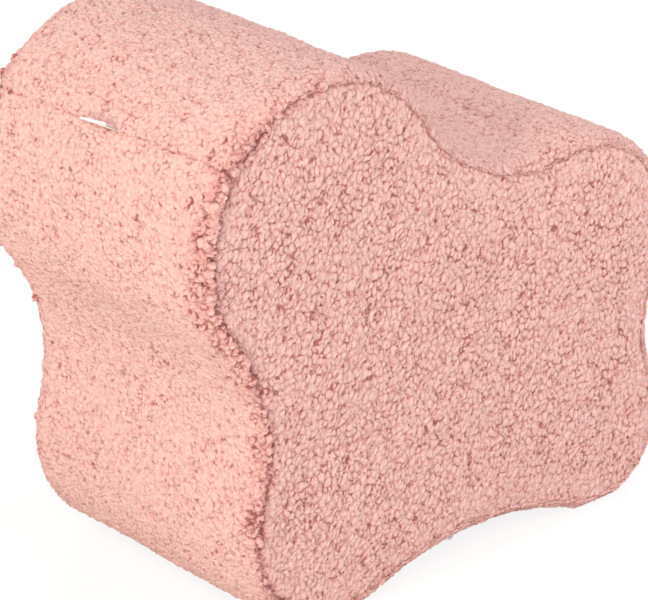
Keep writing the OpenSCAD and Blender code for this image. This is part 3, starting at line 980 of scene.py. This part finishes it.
class Finish:
    """A material with a Principled shader. constants are the shader's own settings."""

    def __init__(self, name, constants):
        self.material = bpy.data.materials.new(name)
        self.material.use_nodes = True
        self.tree = self.material.node_tree
        self.shader = self.tree.nodes["Principled BSDF"]
        for socket, value in constants.items():
            self.shader.inputs[socket].default_value = value

    def node(self, kind, settings, sockets, output=0):
        """A node with its settings and its sockets' values or wires. A ramp's stops: places and colours."""
        made = self.tree.nodes.new(kind)
        for key, value in settings.items():
            if key == "stops":
                ramp = made.color_ramp.elements
                while len(ramp) < len(value):
                    ramp.new(0.5)
                for element, (place, colour) in zip(ramp, value):
                    element.position = place
                    element.color = (*colour, 1)
            else:
                setattr(made, key, value)
        for key, value in sockets.items():
            socket = open_socket(made.inputs, key)
            if isinstance(value, Wire):
                self.tree.links.new(value.socket, socket)
            else:
                socket.default_value = value
        return Wire(self, open_socket(made.outputs, output))

    def feed(self, socket, wire):
        self.tree.links.new(wire.socket, self.shader.inputs[socket])

    def attribute(self, name):
        return self.node("ShaderNodeAttribute", {"attribute_name": name}, {}, output="Fac")

    def place(self):
        """Places on the object, in metres."""
        return self.node("ShaderNodeTexCoord", {}, {}, output="Object")

    def noise(self, per_metre, detail=2.0, vector=None):
        where = vector if vector is not None else self.place()
        return self.node("ShaderNodeTexNoise", {}, {"Vector": where, "Scale": per_metre, "Detail": detail})

    def cells(self, per_metre):
        """How far each place is from the nearest of scattered points."""
        sockets = {"Vector": self.place(), "Scale": per_metre}
        return self.node("ShaderNodeTexVoronoi", {"feature": "F1"}, sockets)

    def axis(self, name):
        return self.node("ShaderNodeSeparateXYZ", {}, {0: self.place()}, output=name)

    def ramp(self, value, stops):
        return self.node("ShaderNodeValToRGB", {"stops": stops}, {"Fac": value})

    def colour(self, value, stops):
        self.feed("Base Color", self.ramp(value, stops))

    def bump(self, height, distance, strength=1.0):
        """Feeds the shader's normal with a height from 0 to 1, times a distance in metres."""
        sockets = {"Height": height, "Distance": distance, "Strength": strength}
        self.feed("Normal", self.node("ShaderNodeBump", {}, sockets))


def make_pile():
    """Curly pile: pale tips, rose in between, deep rose at the roots. The colour follows how open each place is
    to light, so the deep rose is painted crease shade.
    """
    f = Finish("curly_pile", {"Roughness": 0.92, "Sheen Weight": 0.25, "Sheen Roughness": 0.6,
                              "Sheen Tint": (1.0, 0.86, 0.82, 1.0), "Specular IOR Level": 0.15})
    fibre = f.noise(900, 3.0)
    patch = f.noise(28, 2.0)
    loops = f.cells(430.0)
    # The ramp's value: painted crease shade from the openness and from the edges of the small loops, plus tone
    # that differs at random from each curl's shade, the fibre and patches.
    depth = f.attribute("openness") + (f.attribute("shade") - 0.5) * 0.18 - (loops - 0.45) * 0.35
    depth = depth + (fibre - 0.5) * 0.45 + (patch - 0.5) * 0.22
    colour = f.ramp(depth, [
        (0.00, (0.42, 0.125, 0.12)),
        (0.17, (0.75, 0.355, 0.33)),
        (0.40, (0.878, 0.497, 0.463)),
        (0.95, (0.93, 0.590, 0.547)),
    ])
    peach = f.noise(330, 2.0)
    f.feed("Base Color", f.node("ShaderNodeMix", {"data_type": "RGBA", "blend_type": "MULTIPLY"}, {
        "Factor": peach, "A": colour, "B": (1.0, 0.988, 0.95, 1.0)}, output="Result"))
    f.bump((1 - loops) * 0.7 + fibre * 0.6, 0.0022, 0.9)
    return f.material


def make_foam():
    """Open-cell foam, cream, a little yellowed in places, with its cells as small pits, painted darker as
    shade.
    """
    f = Finish("open_cell_foam", {"Roughness": 0.95, "Specular IOR Level": 0.2, "Subsurface Weight": 0.0})
    cells = f.cells(900.0)
    wide = f.cells(260.0)
    patch = f.noise(9, 3.0)
    pits = cells * 0.75 + wide * 0.35
    # The pits are painted darker: painted shade. The yellowed patches are the foam's own colour.
    f.colour(pits * -0.5 + patch * 0.5 + 0.45, [
        (0.15, (0.70, 0.56, 0.30)),
        (0.45, (0.90, 0.80, 0.56)),
        (0.80, (0.95, 0.89, 0.70)),
    ])
    f.bump(1 - pits, 0.0008, 0.8)
    return f.material


def make_liner():
    """A thin plain weave, off white."""
    f = Finish("plain_weave_liner", {"Roughness": 0.8, "Sheen Weight": 0.15, "Specular IOR Level": 0.25})
    warp = (f.attribute("along") * (1 / 1.1)).waves()
    weft = (f.attribute("across") * (1 / 1.1)).waves()
    slub = f.noise(160, 3.0)
    cloth = warp * 0.5 + weft * 0.5
    f.colour(cloth * 0.45 + slub * 0.5, [
        (0.10, (0.66, 0.62, 0.54)),
        (0.50, (0.86, 0.84, 0.78)),
        (0.85, (0.92, 0.91, 0.87)),
    ])
    f.bump(cloth, 0.0002, 0.6)
    return f.material


def make_thread():
    """Twisted thread, deep rose."""
    f = Finish("twisted_thread", {"Roughness": 0.6, "Sheen Weight": 0.2})
    ply = ((f.axis("X") + f.axis("Y") + f.axis("Z")) * (1 / 0.0009)).waves()
    wear = f.noise(300, 2.0)
    f.colour(ply * 0.7 + wear * 0.3, [
        (0.15, (0.42, 0.13, 0.12)),
        (0.55, (0.64, 0.27, 0.24)),
        (0.90, (0.76, 0.38, 0.34)),
    ])
    f.bump(ply, 0.00012, 0.7)
    return f.material


def make_satin():
    """White satin, its long floats lying across the label."""
    f = Finish("white_satin", {"Roughness": 0.42, "Sheen Weight": 0.3, "Anisotropic": 0.4})
    floats = (f.attribute("along") * (1 / 0.35)).waves()
    picks = (f.attribute("across") * (1 / 0.8)).waves()
    uneven = f.noise(90, 3.0)
    f.colour(floats * 0.25 + picks * 0.15 + uneven * 0.5, [
        (0.10, (0.84, 0.83, 0.81)),
        (0.45, (0.95, 0.94, 0.93)),
    ])
    f.feed("Roughness", 0.36 + uneven * 0.16)
    f.bump(floats * 0.6 + picks * 0.4, 0.00005, 0.5)
    return f.material


def make_tape():
    """Herringbone tape, rose, like the pile's roots."""
    f = Finish("herringbone_tape", {"Roughness": 0.75, "Sheen Weight": 0.2})
    zigzag = f.node("ShaderNodeMath", {"operation": "PINGPONG"}, {0: f.axis("X"), 1: 0.0011})
    twill = ((f.axis("Y") + zigzag) * (1 / 0.0008)).waves()
    fluff = f.noise(700, 3.0)
    f.colour(twill * 0.6 + fluff * 0.4, [
        (0.15, (0.50, 0.20, 0.175)),
        (0.50, (0.74, 0.38, 0.335)),
        (0.90, (0.82, 0.47, 0.42)),
    ])
    f.bump(twill, 0.00018, 0.8)
    return f.material


def make_teeth():
    """Moulded plastic, rose, with flow marks."""
    f = Finish("moulded_teeth", {"Specular IOR Level": 0.5, "Coat Weight": 0.15, "Coat Roughness": 0.3})
    flow = f.noise(1400, 2.0)
    wear = f.noise(60, 3.0)
    f.colour(wear * 0.7 + flow * 0.3, [
        (0.25, (0.68, 0.31, 0.275)),
        (0.75, (0.78, 0.40, 0.355)),
    ])
    f.feed("Roughness", 0.3 + flow * 0.25)
    f.bump(flow, 0.00004, 0.5)
    return f.material


def make_cast_metal(name):
    """Die-cast metal, tumbled to a satin, with fine scratches."""
    f = Finish(name, {"Metallic": 1.0, "IOR": 1.45})
    cast = f.noise(900, 3.0)
    stretched = f.node("ShaderNodeMapping", {}, {"Vector": f.place(), "Scale": (9.0, 0.6, 3.0)})
    scratch = f.noise(700, 2.0, stretched)
    f.colour(cast, [
        (0.25, (0.52, 0.50, 0.47)),
        (0.65, (0.70, 0.68, 0.65)),
    ])
    f.feed("Roughness", 0.24 + cast * 0.14 + scratch * 0.12)
    f.bump(cast * 0.6 + scratch * 0.4, 0.00004, 0.5)
    return f.material


pile_finish = make_pile()
foam_finish = make_foam()
liner_finish = make_liner()
thread_finish = make_thread()
satin_finish = make_satin()
tape_finish = make_tape()
teeth_finish = make_teeth()
metal_finish = make_cast_metal("cast_metal")

# ---- The pieces ----


def place_piece(piece, node, body="seat"):
    """The piece stands for a CAD node and rides with its body."""
    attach(piece, body)
    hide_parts(node)
    return piece


def softened(node, width, material, segments=2):
    """Gives a CAD node rounded edges and its finish."""
    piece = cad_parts[node]
    weld = piece.modifiers.new("weld", "WELD")
    weld.merge_threshold = 0.01 * MM
    bevel = piece.modifiers.new("edges", "BEVEL")
    bevel.width = width * MM
    bevel.segments = segments
    bevel.limit_method = "ANGLE"
    for slot in piece.material_slots:
        slot.material = material


seat_strip = strip("seat_strip_pile", HUMP_SEAM, ZIP_SEAM, SEED, 0)
back_strip = strip("back_strip_pile", ZIP_SEAM, HUMP_SEAM + outline.length, SEED + 100, 1)
near_panel = side_panel("side_panel_near_pile", -1, SEED + 200)
far_panel = side_panel("side_panel_far_pile", 1, SEED + 300)
covers = [
    (seat_strip, "seat_strip"), (back_strip, "back_strip"),
    (near_panel, "side_panel_near"), (far_panel, "side_panel_far"),
]
for piece, node in covers:
    place_piece(piece, node)

for name, side, count in (("edge_tufts_near", -1, NEAR_TUFTS), ("edge_tufts_far", 1, FAR_TUFTS)):
    tufts = edge_tufts(name, side, count, SEED + 400 + side)
    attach(tufts, "seat")

place_piece(foam_block("foam_block"), "foam_core")
liner = place_piece(liner_bag("liner_bag"), "inner_liner")

label = place_piece(folded_label("folded_label"), "blank_label")

threads = [
    (side_stitches("side_stitches_near", -1), "side_thread_near"),
    (side_stitches("side_stitches_far", 1), "side_thread_far"),
    (hump_stitches("hump_stitches"), "hump_thread"),
    (arch_stitches("arch_stitches"), "arch_thread"),
    (zip_stitches("zip_stitches"), "zip_thread"),
]
for piece, node in threads:
    place_piece(piece, node)

for end in ("back", "front"):
    tape = place_piece(zip_tape("woven_tape_" + end, "zip_tape_" + end), "zip_tape_" + end)
    low, high = box_of("zip_tape_" + end)
    (high[0] - low[0]) * MM
    (high[1] - low[1]) * MM
    softened("zip_teeth_" + end, 0.18, teeth_finish)
metal_edges = {"zip_top_stops": 0.25, "zip_bottom_stop": 0.3, "zip_slider": 0.2, "zip_pull": 0.3}
for node, width in metal_edges.items():
    softened(node, width, metal_finish, 3)

# ---- Floor, light and camera ----


def set_camera():
    a, e = CAMERA_AZIMUTH, CAMERA_ELEVATION
    back = Vector((math.sin(a) * math.cos(e), -math.cos(a) * math.cos(e), math.sin(e)))
    right = Vector((math.cos(a), math.sin(a), 0))
    up = back.cross(right)
    target = Vector((0, 0, HEIGHT / 2))
    camera = bpy.data.objects.new("camera", bpy.data.cameras.new("camera"))
    camera.data.lens = CAMERA_LENS
    camera.data.clip_start, camera.data.clip_end = 0.05, 50
    camera.location = (target + back * CAMERA_DISTANCE - right * AIM_RIGHT - up * AIM_UP) * MM
    camera.rotation_euler = (-back).to_track_quat("-Z", "Y").to_euler()
    bpy.context.scene.collection.objects.link(camera)
    bpy.context.scene.camera = camera


def set_floor():
    """A wide white floor that shows white to the camera, apart from a soft shadow."""
    half = FLOOR_HALF_W
    corners = [(-half, -half, 0), (half, -half, 0), (half, half, 0), (-half, half, 0)]
    mesh = bpy.data.meshes.new("floor")
    mesh.from_pydata(corners, [], [(0, 1, 2, 3)])
    floor = bpy.data.objects.new("floor", mesh)
    bpy.context.scene.collection.objects.link(floor)
    f = Finish("floor", {"Base Color": (0.80, 0.79, 0.78, 1), "Roughness": 0.9})
    kinds = ("Is Camera Ray", "Is Glossy Ray", "Is Transmission Ray")
    camera, gloss, through = (f.node("ShaderNodeLightPath", {}, {}, output=kind) for kind in kinds)
    seen = f.node("ShaderNodeMath", {"operation": "MAXIMUM"}, {0: camera + gloss, 1: through})
    glow = f.tree.nodes.new("ShaderNodeEmission")
    glow.inputs["Color"].default_value = (1, 1, 1, 1)
    glow.inputs["Strength"].default_value = FLOOR_GLOW
    mix = f.node("ShaderNodeMixShader", {}, {
        0: seen * 0.8, 1: Wire(f, f.shader.outputs[0]), 2: Wire(f, glow.outputs[0])})
    f.tree.links.new(mix.socket, f.tree.nodes["Material Output"].inputs["Surface"])
    mesh.materials.append(f.material)
    floor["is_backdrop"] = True


def set_world():
    world = bpy.data.worlds.new("studio")
    bpy.context.scene.world = world
    world.use_nodes = True
    tree = world.node_tree
    background = tree.nodes["Background"]
    background.inputs["Color"].default_value = (1, 1, 1, 1)
    path = tree.nodes.new("ShaderNodeLightPath")
    strength = tree.nodes.new("ShaderNodeMapRange")
    tree.links.new(path.outputs["Is Camera Ray"], strength.inputs["Value"])
    strength.inputs["To Min"].default_value = FILL
    strength.inputs["To Max"].default_value = 1.0
    tree.links.new(strength.outputs[0], background.inputs["Strength"])


def lamp(name, location, size, power, colour):
    data = bpy.data.lights.new(name, "AREA")
    data.shape = "DISK"
    data.size = size
    data.energy = power
    data.color = colour
    made = bpy.data.objects.new(name, data)
    made.location = location
    target = Vector((0, 0, HEIGHT / 2 * MM))
    made.rotation_euler = (target - Vector(location)).to_track_quat("-Z", "Y").to_euler()
    bpy.context.scene.collection.objects.link(made)


set_camera()
set_floor()
set_world()
for values in LAMPS:
    lamp(*values)
bpy.context.scene.view_settings.view_transform = "Standard"

low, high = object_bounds()
